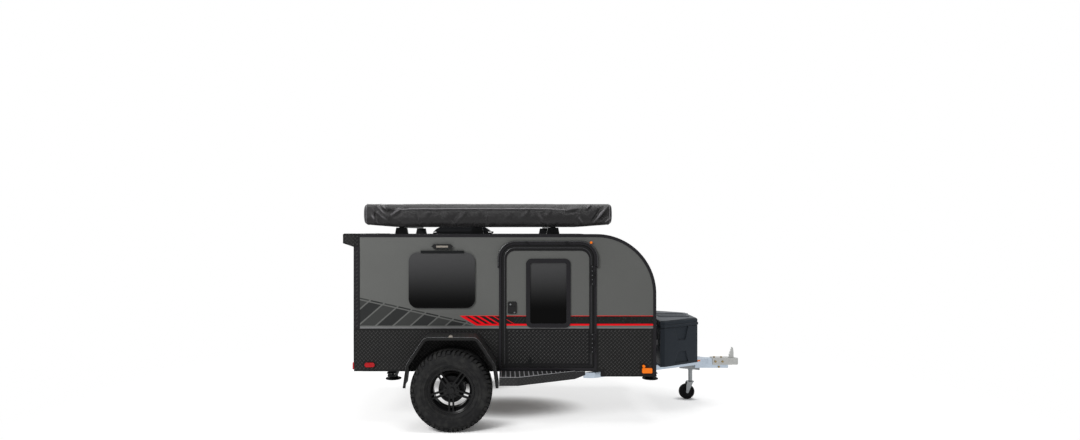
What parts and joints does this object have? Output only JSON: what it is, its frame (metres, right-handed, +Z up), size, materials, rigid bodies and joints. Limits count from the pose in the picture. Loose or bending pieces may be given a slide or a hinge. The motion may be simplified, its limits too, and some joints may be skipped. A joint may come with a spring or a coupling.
{
  "type": "travel trailer",
  "caption": "Compact rounded-nose travel trailer with side doors, rear hatch, tread-plate lower sides, awning bag on the roof rack, tongue box and tongue jack.",
  "frame": {"origin": "on the ground under the middle of the overall length and width", "axes": "+X towards the hitch, +Y to the trailer's left, +Z up"},
  "size_m": [4.14, 2.084, 2.146],
  "materials": {
    "frame_alu": "mill finish, dulled",
    "tongue_alu": "bright mill finish",
    "zinc": "zinc plated",
    "black_steel": "satin black",
    "floor_board": "sealed board",
    "grey_panel": "satin grey",
    "tread_plate": "black tread plate",
    "trim_black": "satin black extrusion",
    "dark_glass": "dark tint",
    "black_plastic": "fine grain",
    "gloss_black": "gloss",
    "clear_lens": "clear lens",
    "amber_lens": "amber lens",
    "red_lens": "red lens",
    "bag_cloth": "coated cloth, wrinkled",
    "box_plastic": "moulded, blue black",
    "tyre_rubber": "matt",
    "wheel_black": "satin black alloy",
    "drum_iron": "dull",
    "caster_rubber": "matt"
  },
  "bodies": {
    "trailer": {"side_rails": "frame_alu", "crossmembers": "frame_alu", "tongue_rails": "tongue_alu", "nose_tube": "tongue_alu", "coupler": "zinc", "coupler_lever": "zinc", "axle": "black_steel", "stabilisers": "black_steel", "floor_panel": "floor_board", "wall_upper_right": "grey_panel", "wall_upper_left": "grey_panel", "wall_lower": "tread_plate", "roof_panel": "grey_panel", "nose_panel": "grey_panel", "rear_frame": "trim_black", "spoiler": "tread_plate", "edge_trims": "trim_black", "door_frames": "trim_black", "side_windows": "dark_glass", "window_visors": "black_plastic", "porch_lights": "gloss_black", "lenses_clear": "clear_lens", "lamps_amber": "amber_lens", "lamps_red": "red_lens", "fenders": "tread_plate", "steps": "tread_plate", "rack_feet": "black_plastic", "rack_bars": "black_steel", "awning_bag": "bag_cloth", "vent_base": "black_plastic", "box_shell": "box_plastic", "jack_post": "zinc"},
    "door_right": {"door_leaf_right": "grey_panel", "door_rim_right": "trim_black", "door_glass_right": "dark_glass", "door_latch_right": "gloss_black"},
    "door_left": {"door_leaf_left": "grey_panel", "door_rim_left": "trim_black", "door_glass_left": "dark_glass", "door_latch_left": "gloss_black"},
    "hatch": {"hatch_panel": "grey_panel", "hatch_latch": "gloss_black"},
    "tongue_box_lid": {"box_lid": "box_plastic"},
    "roof_vent_lid": {"vent_lid": "gloss_black"},
    "wheel_right": {"tyre_right": "tyre_rubber", "rim_right": "wheel_black", "drum_right": "drum_iron"},
    "wheel_left": {"tyre_left": "tyre_rubber", "rim_left": "wheel_black", "drum_left": "drum_iron"},
    "caster": {"caster_fork": "zinc"},
    "jack_wheel": {"caster_wheel": "caster_rubber"}
  },
  "joints": [
    {"name": "door_right_hinge", "type": "hinge", "parent": "trailer", "child": "door_right", "pos_m": [0.3755, -0.7785, 1.127], "axis": [0, 0, 1], "range_deg": [0, 160]},
    {"name": "door_left_hinge", "type": "hinge", "parent": "trailer", "child": "door_left", "pos_m": [0.3755, 0.7785, 1.127], "axis": [0, 0, -1], "range_deg": [0, 160]},
    {"name": "hatch_hinge", "type": "hinge", "parent": "trailer", "child": "hatch", "pos_m": [-1.9725, 0, 1.712], "axis": [0, 1, 0], "range_deg": [0, 88]},
    {"name": "box_lid_hinge", "type": "hinge", "parent": "trailer", "child": "tongue_box_lid", "pos_m": [1.091, 0, 0.895], "axis": [0, -1, 0], "range_deg": [0, 90]},
    {"name": "vent_lid_hinge", "type": "hinge", "parent": "trailer", "child": "roof_vent_lid", "pos_m": [-0.628, 0, 1.878], "axis": [0, 1, 0], "range_deg": [0, 60]},
    {"name": "wheel_right_spin", "type": "hinge", "parent": "trailer", "child": "wheel_right", "pos_m": [-0.996, -0.901, 0.387], "axis": [0, 1, 0], "continuous": true},
    {"name": "wheel_left_spin", "type": "hinge", "parent": "trailer", "child": "wheel_left", "pos_m": [-0.996, 0.901, 0.387], "axis": [0, 1, 0], "continuous": true},
    {"name": "caster_swivel", "type": "hinge", "parent": "trailer", "child": "caster", "pos_m": [1.5965, 0.16334, 0.2], "axis": [0, 0, 1], "continuous": true},
    {"name": "caster_spin", "type": "hinge", "parent": "caster", "child": "jack_wheel", "pos_m": [1.5545, 0.16334, 0.085], "axis": [0, 1, 0], "continuous": true}
  ]
}
